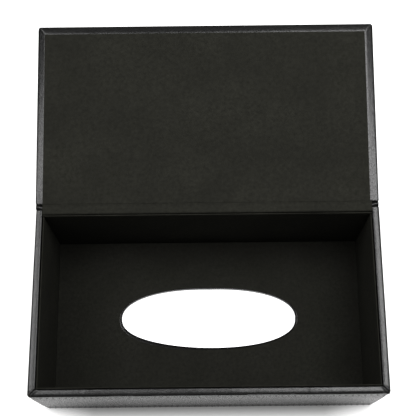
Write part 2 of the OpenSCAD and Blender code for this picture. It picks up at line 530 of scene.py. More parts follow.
def make_piece(name, sheet, facing, material, thickness=0, turn=None):
    """Turns a sheet into a finished piece."""
    bmesh.ops.remove_doubles(sheet, verts=sheet.verts[:], dist=touching)
    bmesh.ops.dissolve_degenerate(sheet, edges=sheet.edges[:], dist=touching)
    if facing:
        face_outward(sheet, facing)
    if turn is not None:
        sheet.transform(turn)
    mesh = bpy.data.meshes.new(name)
    sheet.to_mesh(mesh)
    sheet.free()
    piece = bpy.data.objects.new(name, mesh)
    bpy.context.scene.collection.objects.link(piece)
    if thickness:
        solid = piece.modifiers.new("thickness", "SOLIDIFY")
        solid.thickness = thickness
        solid.offset = -1
        solid.use_even_offset = True
        bake(piece)
    for face in piece.data.polygons:
        face.use_smooth = True
    piece.data.set_sharp_from_angle(angle=crisp_angle)
    piece.data.materials.clear()
    piece.data.materials.append(material)
    print(name, "faces:", len(piece.data.polygons))
    return piece


print("edges kept crisp from, degrees:", round(math.degrees(crisp_angle)))

# %% [markdown]
# ## The section of a wall
#
# On the real cover the leatherette starts at the foot of the wall, rises past two rows of
# stitches, rolls over the rim and ends inside, behind the lining. The sheet is a little
# puffy on the board. Over the front rim, which also holds the magnets, it rolls out fuller
# than over the sides. A rim could be rounded by a Bevel modifier, but one radius all round
# looks machined, so the section is drawn from listed points. Its points lie close together beside
# the stitches, where the thread pulls the sheet in.

# %% Wall section
seam_z = skin_t
row_inset = 8.5 * mm
puff = 0.3 * mm
roll_out, front_roll_out = 0.1 * mm, 0.5 * mm
rim_r, front_rim_r = 1.3 * mm, 1.8 * mm
crown = 0.08 * mm
inner_r = 0.8 * mm
fine_step, row_clear = 0.5 * mm, 4 * mm
foot_depth = edge_r - math.sqrt(edge_r ** 2 - (edge_r - seam_z) ** 2)
low_row, high_row = row_inset, rim_z - row_inset


def wall_face():
    """The outer face of a wall, from its foot to the start of the rolled rim."""
    points = [(foot_depth, seam_z)] + arc((edge_r - puff, edge_r), edge_r, 205, 180, 3)[1:]
    heights = [low_row + i * fine_step for i in range(-6, 7)]
    plain = line((0, low_row + row_clear), (0, high_row - row_clear), 17)
    heights += [height for depth, height in plain]
    heights += [high_row + i * fine_step for i in range(-6, 6)]
    return points + [(-puff, height) for height in heights]


def wall_section(radius, fullness):
    """A wall from its foot to the lining, over a rim of a radius and a fullness."""
    shoulder = rim_z - crown - radius
    points = wall_face()
    # The face swells or slims to the rim in four steps.
    for rise, share in ((-3, 0.3), (-2, 0.6), (-1.2, 0.85), (-0.5, 0.97)):
        points.append((-puff - (fullness - puff) * share, shoulder + rise * mm))
    points += arc((radius - fullness, shoulder), radius, 180, 92, 10)
    middle = rim_w / 2
    for depth in (1.6 * mm, 2.0 * mm, 2.4 * mm, 2.8 * mm, 3.4 * mm):
        points.append((depth, rim_z - crown * ((depth - middle) / middle) ** 2))
    points += arc((rim_w - inner_r, rim_z - crown - inner_r), inner_r, 80, 0, 5)
    return points + [(rim_w, turn_low)]


front_section = wall_section(front_rim_r, front_roll_out)
side_section = wall_section(rim_r, roll_out)
print("points in the wall section:", len(side_section))

# %% [markdown]
# ## The pull of the thread
#
# A tight thread draws the sheet into a shallow groove, and into a deep pucker at each hole
# between two stitches, higher than it is wide. In the photograph these puckers catch the
# light. A bump could draw them, but it stays flat in the mesh and at the silhouette, so one
# smooth formula says how far each point of the mesh is pulled in.

# %% The pull of the thread
stitch_pitch = 4.4 * mm
row_end = 3.0 * mm
pull_deep, pull_wide = 0.14 * mm, 2.2 * mm
pucker_deep, pucker_wide, pucker_high = 0.62 * mm, 0.8 * mm, 2.2 * mm


def stitch_step(length):
    """The spacing that fits whole stitches on a row."""
    return length / int(length / stitch_pitch)


def thread_pull(run, length, off_row):
    """How far the sheet is pulled in, at a place along a row and at a distance from it."""
    step = stitch_step(length)
    inside = max(0, min(length, run))
    beyond = abs(run - inside)
    to_hole = abs(inside - step * round(inside / step)) + beyond
    groove = math.exp(-(off_row ** 2 + beyond ** 2) / pull_wide ** 2)
    dent = math.exp(-(to_hole / pucker_wide) ** 2 - (off_row / pucker_high) ** 2)
    return pull_deep * groove + pucker_deep * dent


print("stitches on the front wall:", int((2 * half_w - 2 * row_end) / stitch_pitch))

# %% [markdown]
# ## Folds at the corners
#
# Where two turned edges meet, the maker folds the spare leatherette under and presses it
# flat. That leaves a narrow ridge beside the mitre and a fine line on it, which catch the
# light in the photograph. So near the mitre the rim is raised a little. It is also raised
# over the two magnets that lie under the leatherette of the front rim. These could be
# sculpted by hand, but a formula of the distance gives both sides of a mitre the same fold.

# %% Relief of the rim
fold_high, fold_wide = 0.36 * mm, 0.9 * mm
magnet_rise, magnet_slope = 0.15 * mm, 1.5 * mm
magnet_x = sum(corner.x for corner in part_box("rim_magnet_right")) / 2
magnet_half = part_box("rim_magnet_right")[1].x - magnet_x


def fold_relief(distance):
    """Height of the fold at a distance from the mitre: a line, then a ridge."""
    ridge = math.exp(-((distance - 1.3 * fold_wide) / fold_wide) ** 2)
    crease = math.exp(-(distance / (0.35 * fold_wide)) ** 2)
    return fold_high * (ridge - 0.8 * crease)


def over_magnets(spot):
    """The swelling of the front rim over its two magnets."""
    if spot.y > rim_w - half_d:
        return 0
    off_middle = abs(abs(spot.x) - magnet_x)
    return magnet_rise * max(0, min(1, (magnet_half - off_middle) / magnet_slope + 1))


print("fold, mm:", fold_high / mm)

# %% [markdown]
# ## The give of a glued sheet
#
# No glued sheet is flat. It stands out a little between the two rows of stitches, and rises
# and falls slowly where the glue is thicker or thinner. A displacement texture could do
# that, but the stitches, the folds and the magnets move the same points, so one function
# adds them all up.

# %% Shape of the walls
belly_out, belly_slope = 0.5 * mm, 14 * mm
rim_wave, rim_uneven = 20 * mm, 0.2 * mm
face_wave, face_uneven = 30 * mm, 0.1 * mm


def belly(height):
    """How far the sheet stands out between the two rows of stitches."""
    from_row = min(high_row - height, height - low_row) - pull_wide
    share = max(0, min(1, from_row / belly_slope))
    return belly_out * share * share * (3 - 2 * share)


def shape_wall(sheet, corners):
    """Makes a wall's sheet uneven, with folds at its mitred corners and puckers at its thread."""
    for vert in sheet.verts:
        spot = vert.co.copy()
        if spot.z > board_top:
            near = [abs(abs(spot.x - x) - abs(spot.y - y)) for x, y in corners
                    if (spot.xy - Vector((x, y))).length < 2 * rim_w]
            vert.co.z += fold_relief(min(near)) if near else 0
            vert.co.z += unevenness(spot, rim_wave, rim_uneven) - rim_uneven + over_magnets(spot)
        elif spot.z > 2 * edge_r:
            pull = unevenness(spot, face_wave, face_uneven) - face_uneven + belly(spot.z)
            off_row = min(abs(spot.z - low_row), abs(spot.z - high_row))
            if abs(spot.y) > half_d - mm:
                run, length = spot.x + half_w - row_end, 2 * (half_w - row_end)
                vert.co.y += math.copysign(pull - thread_pull(run, length, off_row), spot.y)
            elif abs(spot.x) > half_w - mm:
                run, length = spot.y + half_d - row_end, 2 * (half_d - row_end)
                vert.co.x += math.copysign(pull - thread_pull(run, length, off_row), spot.x)


print("the sheet stands out by, mm:", belly_out / mm)

# %% [markdown]
# ## The front wall
#
# The front wall's leatherette is one sheet. Its rim is mitred at both ends, and outside it
# rounds half of each corner, up to the side wall's sheet. It could be cut to length after
# it is drawn, but stations that go from corner to corner give the mitres by themselves.

# %% Front wall's leatherette
def front_cover():
    """The front wall's leatherette, from corner to corner."""
    left_end, right_end = (-half_w, -half_d), (half_w, -half_d)
    stations = corner_stations(left_end, (1, 1), 225, 270)
    stations += edge_stations(left_end, right_end, (0, 1), (True, True))
    stations += corner_stations(right_end, (-1, 1), 270, 315)
    sheet, _ = carry(front_section, stations)
    shape_wall(sheet, [left_end, right_end])
    piece = make_piece("front_leatherette", sheet, (0, -1, 0), leatherette, skin_t)
    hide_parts("front_cover")
    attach(piece, "box")


front_cover()

# %% [markdown]
# ## The side walls
#
# A side wall's leatherette is mitred in front. At the rear it ends square: the rim rolls
# down over the end of the wall, and the outer face rounds the corner and laps onto the
# rear. A Boolean cut would leave a sharp edge there, so the last stations squeeze the
# section's rounded edges together, as a quarter of a ball does, and one more closes the lap.
# In the photograph the two sheets aren't quite square to the front either, so each may be
# skewed by a fraction of a millimetre.

# %% Side walls' leatherette
rear_lap = 2.6 * mm
skew_fade = 2 * mm


def rounded_end(at, radius, low, high, lap, steps=(15, 30, 45, 60, 75, 90)):
    """Stations that round the end of an edge at the rear, and close it with a lap."""
    def squeezed(turn, cover):
        shrink = math.cos(math.radians(turn))
        onward = Vector((0, radius * math.sin(math.radians(turn)), 0))

        def place(depth, height):
            if depth < radius:
                depth = radius - (radius - depth) * shrink
            if height > high - radius:
                height = high - radius + (height - high + radius) * shrink
            if height < low + radius:
                height = low + radius - (low + radius - height) * shrink
            return at(max(depth, cover), height) + onward
        return place

    return [squeezed(turn, 0) for turn in steps] + [squeezed(90, lap)]


def side_cover(name, side, skew):
    """A side wall's leatherette. A skew moves its outer face out in front, in at the rear."""
    front, rear = (side * half_w, -half_d), (side * half_w, half_d - edge_r)
    turns = (225, 180) if side < 0 else (315, 360)
    along = edge_stations(front, rear, (-side, 0), (True, False))
    stations = corner_stations(front, (-side, 1), *turns) + along
    stations += rounded_end(along[-1], edge_r, -1, rim_z - crown, rear_lap)
    sheet, _ = carry(side_section, stations)
    for vert in sheet.verts:
        # Over the rear wall the inner flap is cut short, so that it ends on the board.
        if vert.co.y > half_d - rim_w + skin_t and vert.co.z < board_top and (
                abs(abs(vert.co.x) - (half_w - rim_w)) < level_with):
            vert.co.z = rim_z - rim_r
        outer_share = max(0, min(1, (abs(vert.co.x) - half_w) / skew_fade + 1))
        vert.co.x -= side * skew * outer_share * vert.co.y / half_d
    shape_wall(sheet, [front])
    piece = make_piece(name + "_leatherette", sheet, (side, 0, 0), leatherette,
                       skin_t)
    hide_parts(name + "_cover")
    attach(piece, "box")


side_cover("left", -1, 0.4 * mm)
side_cover("right", 1, -0.1 * mm)

# %% [markdown]
# ## The rear wall
#
# The rear wall's leatherette lies between the two laps. A joint between two sheets could be
# drawn as a dark line, but it is a step, so the ends of this one are pressed in a little.

# %% Rear wall's leatherette
seam_deep, seam_wide = 0.3 * mm, 0.5 * mm


def rear_cover():
    """The rear wall's leatherette, from lap to lap."""
    end = half_w - rear_lap
    points = wall_face() + [(0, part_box("rear_cover")[1].z)]
    places = [end * (-1 + 2 * s) for s in shares_along(2 * end)]

    def station(x):
        def at(depth, height):
            dip = seam_deep * math.exp(-((end - abs(x)) / seam_wide) ** 2)
            return Vector((x, half_d - depth - dip, height))
        return at

    sheet, _ = carry(points, [station(x) for x in places])
    shape_wall(sheet, [])
    piece = make_piece("rear_leatherette", sheet, (0, 1, 0), leatherette, skin_t)
    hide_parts("rear_cover")
    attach(piece, "box")


rear_cover()

# %% [markdown]
# ## The outline of the slot
#
# The dispensing slot is an oval, a little fuller than an ellipse, and its leatherette is
# turned in by hand. So the lip isn't an exact oval: it stands into the slot in front, most at
# the left, and draws back at the rear. A curve could be traced point by point, but a formula
# with a margin that changes with the angle keeps it smooth.

# %% The slot's outline
slot_half_l, slot_half_w, slot_fullness = 69.25 * mm, 24 * mm, 2.24


def oval_point(margin, turn):
    """A point on the slot's oval, grown by a margin."""
    power = 2 / slot_fullness
    x, y = math.cos(turn), math.sin(turn)
    return Vector((
        (slot_half_l + margin) * math.copysign(abs(x) ** power, x),
        (slot_half_w + margin) * math.copysign(abs(y) ** power, y),
    ))


def lip_margin(turn):
    """How far the slot is grown at its lip. Below zero, the lip stands into it."""
    across, back = math.cos(turn), math.sin(turn)
    left_front = max(0, -back) * max(0, -across)
    right_front = max(0, -back) * max(0, across)
    rear_corners = max(0, back) * abs(across)
    bulge = 0.5 * right_front + 1.2 * rear_corners - 2.4 * left_front
    return (-0.55 + 0.85 * back - 0.2 * across ** 2 + bulge) * mm


def card_margin(turn):
    """The card is cut back behind the lip, and most at the rear."""
    return (0.8 + 0.3 * math.sin(turn)) * mm


def oval_stations(margin, fade=0, count=192):
    """Stations all round the slot. A margin can fade out over a first depth."""
    def station(turn):
        def at(depth, height):
            share = max(0, 1 - depth / fade) if fade else 1
            spot = oval_point(depth + margin(turn) * share, turn)
            return spot.to_3d() + Vector((0, 0, height))
        return at
    return [station(math.tau * i / count) for i in range(count + 1)]


print("slot, mm:", 2 * slot_half_l / mm, 2 * slot_half_w / mm)

# %% [markdown]
# ## Flat sheets with a hole
#
# The panel and its card are flat, with a shaped edge outside and another round the slot. A
# Boolean would cut the hole, but it leaves long thin faces. So each is drawn as two borders,
# the flat between them is filled in, and that is sliced into even strips, so that it can be
# made uneven.

# %% Join, fill and slice
def join_sheets(first, second):
    """Adds the second sheet to the first."""
    joined = bpy.data.meshes.new("joined")
    second.to_mesh(joined)
    first.from_mesh(joined)
    second.free()
    bmesh.ops.remove_doubles(first, verts=first.verts[:], dist=touching)
    return first


def fill_between(sheet, height):
    """Fills the flat between two borders, whose free edges lie at a height."""
    free = [e for e in sheet.edges if len(e.link_faces) < 2 and all(
        abs(v.co.z - height) < touching for v in e.verts)]
    bmesh.ops.triangle_fill(sheet, edges=free, use_beauty=True)


def slice_up(sheet, step, axes=(0, 1)):
    """Cuts the sheet at even distances, so that it can be made uneven."""
    for axis in axes:
        farthest = max(abs(v.co[axis]) for v in sheet.verts)
        count = int(farthest / step)
        for i in range(-count, count + 1):
            spot, normal = Vector((0, 0, 0)), Vector((0, 0, 0))
            spot[axis], normal[axis] = i * step, 1
            bmesh.ops.bisect_plane(sheet, geom=sheet.verts[:] + sheet.edges[:] + sheet.faces[:],
                                   plane_co=spot, plane_no=normal, dist=0.0001 * mm)


print("points are joined within, mm:", touching / mm)

# %% [markdown]
# ## The dispensing panel
#
# The box stands on this panel. Its leatherette goes through the slot and ends on the board
# inside, as a thin dark line round the slot. A half round lip would be simpler, but its
# steep side would mirror the white floor as a bright ring. So it starts gently and gets
# steeper towards the slot.

# %% Dispensing panel's leatherette
board_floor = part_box("top_board")[1].z
lip_r, lip_wide, lip_drop = 1.0 * mm, 0.8 * mm, 1.05 * mm
flat_from = 2.2 * mm


def top_cover():
    """The panel's leatherette: its edge, its lip and the flat between them."""
    corners = [(-half_w, -half_d), (half_w, -half_d), (half_w, half_d), (-half_w, half_d)]
    inward = [(0, 1), (-1, 0), (0, -1), (1, 0)]
    inside = [(1, 1), (-1, 1), (-1, -1), (1, -1)]
    stations = []
    for i in range(4):
        stations += corner_stations(corners[i], inside[i], 180 + 90 * i, 270 + 90 * i, 10)
        stations += edge_stations(corners[i], corners[(i + 1) % 4], inward[i], (True, True))
    foot = [(foot_depth, seam_z)] + arc((edge_r, edge_r), edge_r, 205, 270, 7)[1:]
    foot += [(flat_from, 0)]
    sheet, _ = carry(foot, stations + stations[:1])
    lip = [(depth, board_floor + 0.05 * mm) for depth in (3.2 * mm, 1.6 * mm, lip_wide)]
    lip += [(lip_wide * (1 - s), board_floor - lip_drop * s ** 1.4) for s in (0.25, 0.5, 0.75, 1)]
    lip += line((0, board_floor - lip_drop), (0, lip_r), 2)
    lip += arc((lip_r, lip_r), lip_r, 180, 270, 6) + [(flat_from, 0)]
    ring, _ = carry(lip, oval_stations(lip_margin, lip_wide))
    join_sheets(sheet, ring)
    fill_between(sheet, 0)
    piece = make_piece("panel_leatherette", sheet, (0, 0, -1), leatherette, skin_t)
    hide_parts("top_cover")
    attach(piece, "box")


top_cover()

# %% [markdown]
# ## The lining of the walls
#
# The lining is flocked card, cut to fit and glued in, one card on each wall. Card has crisp
# edges with a little wear, and glued card is never quite flat. A plain cube would look like
# plastic, so each card is cut into a fine grid and moved by a fraction of a millimetre. It
# stands a little off the turned edge of the leatherette, and a little below the rim.

# %% Lining cards
card_soft = 0.25 * mm
card_step = 5 * mm
card_wave, card_ripple = 35 * mm, 9 * mm
below_rim = 0.6 * mm
card_inset = {"left": 0.4 * mm, "front": 0.4 * mm, "right": -0.4 * mm, "rear": 0.3 * mm}


def warp(sheet, low, high, depth):
    """Makes a card slightly uneven across its thin side, and always inward."""
    thin = min(range(3), key=lambda i: high[i] - low[i])
    for vert in sheet.verts:
        middle = (low[thin] + high[thin]) / 2
        side = 1 if vert.co[thin] > middle else -1
        rise = unevenness(vert.co, card_wave, depth)
        rise += unevenness(vert.co, card_ripple, depth / 3)
        vert.co[thin] -= side * (rise + 1.3 * depth)


def card(name, low, high, node, body, turn=None, depth=0.12 * mm):
    """A card between two opposite corners, with softened edges."""
    sheet = bmesh.new()
    bmesh.ops.create_cube(sheet, size=1)
    for vert in sheet.verts:
        vert.co = Vector([low[i] if vert.co[i] < 0 else high[i] for i in range(3)])
    bmesh.ops.bevel(sheet, geom=sheet.edges[:], offset=card_soft, segments=2, profile=0.5,
                    affect="EDGES")
    slice_up(sheet, card_step, [i for i in range(3) if high[i] - low[i] > 10 * mm])
    warp(sheet, low, high, depth)
    piece = make_piece(name, sheet, None, flock, 0, turn)
    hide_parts(node)
    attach(piece, body)


def wall_card(wall):
    """The card of one wall."""
    low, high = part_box(wall + "_lining")
    thin = 0 if wall in ("left", "right") else 1
    inward = Vector((0, 0, 0))
    inward[thin] = card_inset[wall]
    card(wall + "_flock", low + inward, high + inward - Vector((0, 0, below_rim)),
         wall + "_lining", "box")


for wall in ("front", "rear", "left", "right"):
    wall_card(wall)

# %% [markdown]
# ## The lining of the panel
#
# The card on the panel has the slot cut in it, a little wider than the lip. It is made like
# the panel's leatherette, from an outline and a ring that are filled in. The ring turns down
# at the cut, so that the card shows its thickness.

# %% Panel's card, with the slot
card_uneven = 0.15 * mm


def panel_card():
    """The panel's card, with its cut turned down round the slot."""
    low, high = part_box("top_lining")
    corners = [(low.x, low.y), (high.x, low.y), (high.x, high.y), (low.x, high.y)]
    sheet = bmesh.new()
    outline = [sheet.verts.new((x, y, high.z)) for x, y in corners]
    for i in range(4):
        sheet.edges.new((outline[i], outline[(i + 1) % 4]))
    edge = [(0, low.z), (0, high.z - card_soft)]
    edge += arc((card_soft, high.z - card_soft), card_soft, 180, 90, 3)[1:]
    edge += [(1.2 * mm, high.z), (2.4 * mm, high.z)]
    ring, _ = carry(edge, oval_stations(card_margin))
    join_sheets(sheet, ring)
    fill_between(sheet, high.z)
    slice_up(sheet, card_step)
    for vert in sheet.verts:
        if vert.co.z > high.z - level_with:
            vert.co.z += unevenness(vert.co, card_wave, card_uneven) - card_uneven
    # The panel's card wears the darker copy of the flock, which is painted shade.
    piece = make_piece("panel_flock_painted_shade", sheet, (0, 0, 1), panel_flock_painted_shade,
                       high.z - low.z - 0.1 * mm)
    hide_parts("top_lining")
    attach(piece, "box")


panel_card()

# %% [markdown]
# ## The lid's jacket
#
# The lid is one board in a leatherette jacket. The sheet covers the outer face, rounds three
# edges and turns in under the lining card, which leaves the border that shows in the
# photograph. It could be built in the open pose, but then each height would need the tilt,
# so it is built closed and level, and turned open at the end.

# %% Section of the jacket
lid_edge_r, lid_back_r = 1.2 * mm, 0.9 * mm
lid_out, back_out = 0.45 * mm, 0.3 * mm
border_low = 0.1 * mm
jacket_in = 9 * mm
lid_row, lid_row_end, lid_fine = 6 * mm, 3 * mm, 0.7 * mm


def lid_section():
    """From the outer face, round the edge, to the border under the card."""
    top, bottom = lid_high.z, lid_low.z + border_low
    points = [(jacket_in, top)]
    points += [(lid_row + i * lid_fine, top) for i in range(3, -5, -1)]
    points += arc((lid_edge_r - lid_out, top - lid_edge_r), lid_edge_r, 90, 180, 6)
    points += arc((lid_edge_r - lid_out, bottom + lid_edge_r), lid_edge_r, 180, 270, 6)
    return points + [(d * mm, bottom) for d in (1.8, 2.4, 3, 3.6, 4.2, 5, 6)] + [(jacket_in, bottom)]


print("points in the jacket's section:", len(lid_section()))

# %% [markdown]
# ## The fall of the border
#
# The border isn't level in the photograph. It falls off outward, most along the left, and
# less towards the hinge. Planes that meet at the mitres would look like cut board, so the
# fall is curved, and at a mitre one side passes softly into the next.

# %% Shape of the lid
far_fall, left_fall, right_fall = 0.95 * mm, 1.75 * mm, 1.2 * mm
far_slope, side_slope, mitre_soft = 5.2 * mm, 5 * mm, 3 * mm
border_uneven = 0.05 * mm


def shape_lid(sheet):
    """Slow unevenness, and a border that falls off outward, less so near the hinge."""
    for vert in sheet.verts:
        x, y, z = vert.co
        side, far = half_w - abs(x), y + half_d
        if z > lid_high.z - level_with:
            across = thread_pull(x + half_w - lid_row, 2 * (half_w - lid_row), far - lid_row)
            side_row = lid_high.y - lid_row_end + half_d - lid_row
            back = thread_pull(far - lid_row, side_row, side - lid_row)
            pull = max(across, back)
            vert.co.z += unevenness(vert.co, face_wave, face_uneven) - face_uneven - pull
        from_hinge = (lid_high.y - y) / (lid_high.y - lid_low.y)
        side_fall = left_fall if x < 0 else right_fall
        at_side = side_fall * max(0, from_hinge) ** 0.6 * max(0, 1 - max(side, 0) / side_slope)
        at_far = far_fall * max(0, 1 - max(far, 0) / far_slope) ** 1.3
        share = max(0, min(1, 0.5 + (side - far) / mitre_soft))
        fall = at_side + (at_far - at_side) * share
        fall -= unevenness(vert.co, face_wave, border_uneven) - border_uneven
        vert.co.z += fall * max(0, lid_high.z - z) / (lid_high.z - lid_low.z - border_low)


print("the border falls by, mm:", left_fall / mm, far_fall / mm, right_fall / mm)

# %% [markdown]
# ## The lid's leatherette
#
# The section is carried up one side, round the front and back down the other side. The two
# ends at the hinge are rounded like those of the side walls and closed. The middle of the
# outer face is left, and one large face could fill it, but that couldn't be made uneven, so
# a grid with the same spacing as the edges does.

# %% Lid's leatherette
def lid_cover():
    """The lid's leatherette: its three edges, and a grid in the middle of the outer face."""
    rear = lid_high.y - lid_back_r + back_out
    left_rear, right_rear = (-half_w, rear), (half_w, rear)
    left_front, right_front = (-half_w, -half_d), (half_w, -half_d)
    left_edge = edge_stations(left_front, left_rear, (1, 0), (True, False))
    right_edge = edge_stations(right_front, right_rear, (-1, 0), (True, False))
    ends = (lid_back_r, lid_low.z + border_low, lid_high.z, 0)
    left_edge += rounded_end(left_edge[-1], *ends)[:-1]
    right_edge += rounded_end(right_edge[-1], *ends)[:-1]
    front_edge = edge_stations(left_front, right_front, (0, 1), (True, True))
    stations = left_edge[::-1] + corner_stations(left_front, (1, 1), 180, 270, 10)
    stations += front_edge + corner_stations(right_front, (-1, 1), 270, 360, 10) + right_edge
    sheet, rows = carry(lid_section(), stations)
    sheet.faces.new(rows[0])
    sheet.faces.new(rows[-1])
    columns = [at(jacket_in, lid_high.z).x for at in front_edge]
    middle = []
    for at in left_edge:
        spot = at(jacket_in, lid_high.z)
        middle.append([sheet.verts.new((x, spot.y, spot.z)) for x in columns])
    for row, following in zip(middle, middle[1:]):
        for i in range(len(columns) - 1):
            sheet.faces.new((row[i], row[i + 1], following[i + 1], following[i]))
    shape_lid(sheet)
    piece = make_piece("lid_leatherette", sheet, (0, 0, 1), leatherette,
                       skin_t, to_open)
    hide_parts("lid_cover")
    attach(piece, "lid")


lid_cover()

# %% [markdown]
# ## The lid's board and card
#
# The border can only fall away if the board makes room for it, so this board is planed along
# three lower edges. It is hidden, and a few faces are enough. The card lies over the fold of
# the jacket. It stands a little proud of the solid one, and is a little wider on the right,
# as the photograph shows it.

# %% Lid's board and card
plane_high, plane_wide, board_soft = 1.5 * mm, 5 * mm, 0.15 * mm


def planed_board():
    """The lid's board, with its lower edges planed off for the border to fall away."""
    low, high = closed_box("lid_board")
    sheet = bmesh.new()
    rings = []
    for height, inset in ((high.z, 0), (low.z + plane_high, 0), (low.z, plane_wide)):
        corners = [(low.x + inset, low.y + inset), (high.x - inset, low.y + inset),
                   (high.x - inset, high.y), (low.x + inset, high.y)]
        rings.append([sheet.verts.new((x, y, height)) for x, y in corners])
    for ring, following in zip(rings, rings[1:]):
        for i in range(4):
            after = (i + 1) % 4
            sheet.faces.new((ring[i], ring[after], following[after], following[i]))
    sheet.faces.new(rings[0])
    sheet.faces.new(rings[-1])
    bmesh.ops.recalc_face_normals(sheet, faces=sheet.faces[:])
    bmesh.ops.bevel(sheet, geom=sheet.edges[:], offset=board_soft, segments=2, profile=0.5,
                    affect="EDGES")
    piece = make_piece("lid_planed_board", sheet, None, fibreboard, 0, to_open)
    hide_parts("lid_board")
    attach(piece, "lid")


planed_board()
proud = Vector((0, 0, 0.1 * mm))
wider = Vector((0.7 * mm, 0, 0))
card("lid_flock", panel_low - proud, panel_high + wider, "lid_lining", "lid", to_open,
     0.05 * mm)

# %% [markdown]
# ## A strip of the fabric hinge
#
# Two strips cross the gap between the rear wall and the lid: lining fabric inside, and
# leatherette outside. Cloth could be simulated there, but both strips are glued except for
# a few millimetres, so each is a sheet along the hinge with a section drawn through a few
# points. It sags a little where it is free, and its spare cloth bunches up at both ends.

# %% A strip along the hinge
strip_wave, bunch_wide = 14 * mm, 5 * mm


def spline(points, count):
    """A smooth line of points through the given ones."""
    ends = [2 * points[0] - points[1], *points, 2 * points[-1] - points[-2]]
    made = []
    for a, b, c, d in zip(ends, ends[1:], ends[2:], ends[3:]):
        for i in range(count):
            t = i / count
            made.append(0.5 * ((2 * b) + (c - a) * t + (2 * a - 5 * b + 4 * c - d) * t * t
                               + (3 * b - a - 3 * c + d) * t ** 3))
    return made + [points[-1]]


def strip(name, path, half_length, material, facing, thickness, node, slack, bunch=0):
    """A strip along the hinge. Its path of (y, z) points sags by a slack, and bunches up."""
    places = [half_length * (-1 + 2 * s) for s in shares_along(2 * half_length)]
    sheet = bmesh.new()
    rows = []
    for x in places:
        row = []
        for share, point in zip([i / (len(path) - 1) for i in range(len(path))], path):
            free = math.sin(math.pi * share)
            sag = unevenness(Vector((x, point.x, 0)), strip_wave, slack) * free
            at_end = max(0, 1 - (half_length - abs(x)) / bunch_wide)
            rise = sag - abs(sag) * 0.5 + bunch * at_end * math.sqrt(max(0, free))
            row.append(sheet.verts.new((x, point.x, point.y + rise)))
        rows.append(row)
    for row, following in zip(rows, rows[1:]):
        for i in range(len(path) - 1):
            sheet.faces.new((row[i], row[i + 1], following[i + 1], following[i]))
    piece = make_piece(name, sheet, facing, material, thickness)
    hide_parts(node)
    return piece


# %% [markdown]
# ## The lining over the rear rim
#
# The lining fabric comes up the inside of the rear wall, bends over its rim and runs across
# the gap onto the lid. On the real cover it has to follow both bodies; here it is drawn once,
# with the lid open, and is attached to neither.

# %% Lining strip
bend_r = 1.4 * mm
inner_y = half_d - rim_w + 0.5 * mm
lid_edge = to_open @ Vector((0, lid_high.y + 0.05 * mm, lid_low.z))

over_rim = [Vector((inner_y, turn_low)), Vector((inner_y, board_top - 2 * mm))]
over_rim += [Vector(p) for p in arc((inner_y + bend_r, rim_z - bend_r), bend_r, 180, 90, 6)]
over_rim += spline([
    Vector((inner_y + 2.4 * mm, rim_z)), Vector((half_d - 0.4 * mm, rim_z - 0.05 * mm)),
    Vector((half_d + 1.4 * mm, rim_z - 0.2 * mm)), Vector((lid_edge.y, lid_edge.z)),
], 4)
lining_strip = strip("hinge_flock", over_rim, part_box("hinge_lining")[1].x, flock,
                     (0, -1, 1), 0.4 * mm, "hinge_lining", 0.1 * mm)
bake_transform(lining_strip)

# %% [markdown]
# ## The leatherette of the hinge
#
# Outside, the leatherette crosses the gap as a spine. A stiff strip would cut into the box
# when the lid turns. Here it is drawn as the lid lies open: it is tucked up into the gap, and
# its ends show there as two small folds. On the real cover, when the lid closes, it turns out
# into a soft round back. Like the lining, it is attached to neither body.

# %% Leatherette strip
rear_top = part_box("rear_cover")[1].z
lid_back = to_open @ Vector((0, lid_high.y + 0.05 * mm, lid_high.z - 0.5 * mm))

under_gap = spline([
    Vector((half_d, rear_top)), Vector((half_d + 0.5 * mm, rear_top + 0.3 * mm)),
    Vector((half_d + 1.6 * mm, rear_top + 0.2 * mm)),
    Vector((half_d + 2.7 * mm, rear_top - 0.9 * mm)), Vector((lid_back.y, lid_back.z)),
], 4)
spine = strip("hinge_leatherette", under_gap, half_w - 0.1 * mm, leatherette,
              (0, 1, -1), 0.6 * mm, "hinge_cover", 0.15 * mm, 2.4 * mm)
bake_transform(spine)

# %% [markdown]
# ## One stitch
#
# A lockstitch shows as short raised dashes with small gaps, here 3.2 mm long every 4.4 mm,
# each leaning a little. A texture of dashes would be flat, and these stand up and catch the
# light, so each is a small tube that dips into its holes at both ends.

# %% One stitch
stitch_long, stitch_thick = 3.2 * mm, 0.7 * mm
stitch_lean = math.radians(6)
stitch_rings, stitch_sides = 7, 8


def add_stitch(sheet, middle, along, out):
    """One stitch on a surface, along a direction, with the surface's outward normal."""
    across = out.cross(along).normalized()
    lean = along * math.cos(stitch_lean) + across * math.sin(stitch_lean)
    rings = []
    # It is thinner at both ends, and arched, so that the ends dip below the surface.
    for i in range(stitch_rings):
        t = i / (stitch_rings - 1)
        fullness = math.sin(math.pi * (0.12 + 0.76 * t)) ** 0.5
        centre = middle + lean * stitch_long * (t - 0.5)
        centre += out * stitch_thick * 0.32 * (math.sin(math.pi * t) - 0.4)
        ring = []
        for k in range(stitch_sides):
            turn = math.tau * k / stitch_sides
            ring.append(sheet.verts.new(centre + (
                across * math.cos(turn) + out * 0.8 * math.sin(turn)
            ) * stitch_thick / 2 * fullness))
        rings.append(ring)
    for ring, following in zip(rings, rings[1:]):
        for k in range(stitch_sides):
            after = (k + 1) % stitch_sides
            sheet.faces.new((ring[k], ring[after], following[after], following[k]))
    sheet.faces.new(rings[0][::-1])
    sheet.faces.new(rings[-1])


print("stitch, mm:", stitch_long / mm, "every", stitch_pitch / mm)

# %% [markdown]
# ## Rows of stitches
#
# A row is a path of points, and the stitches share its length evenly, in step with the
# puckers of the sheet. A curve with an array of stitches would stretch them at its end. All
# stitches of one body are one piece, because they move together.

# %% Stitches of the box and the lid
stitch_sunk = 0.15 * mm
panel_thread_z = 0.2 * mm
lid_thread_in = 0.1 * mm


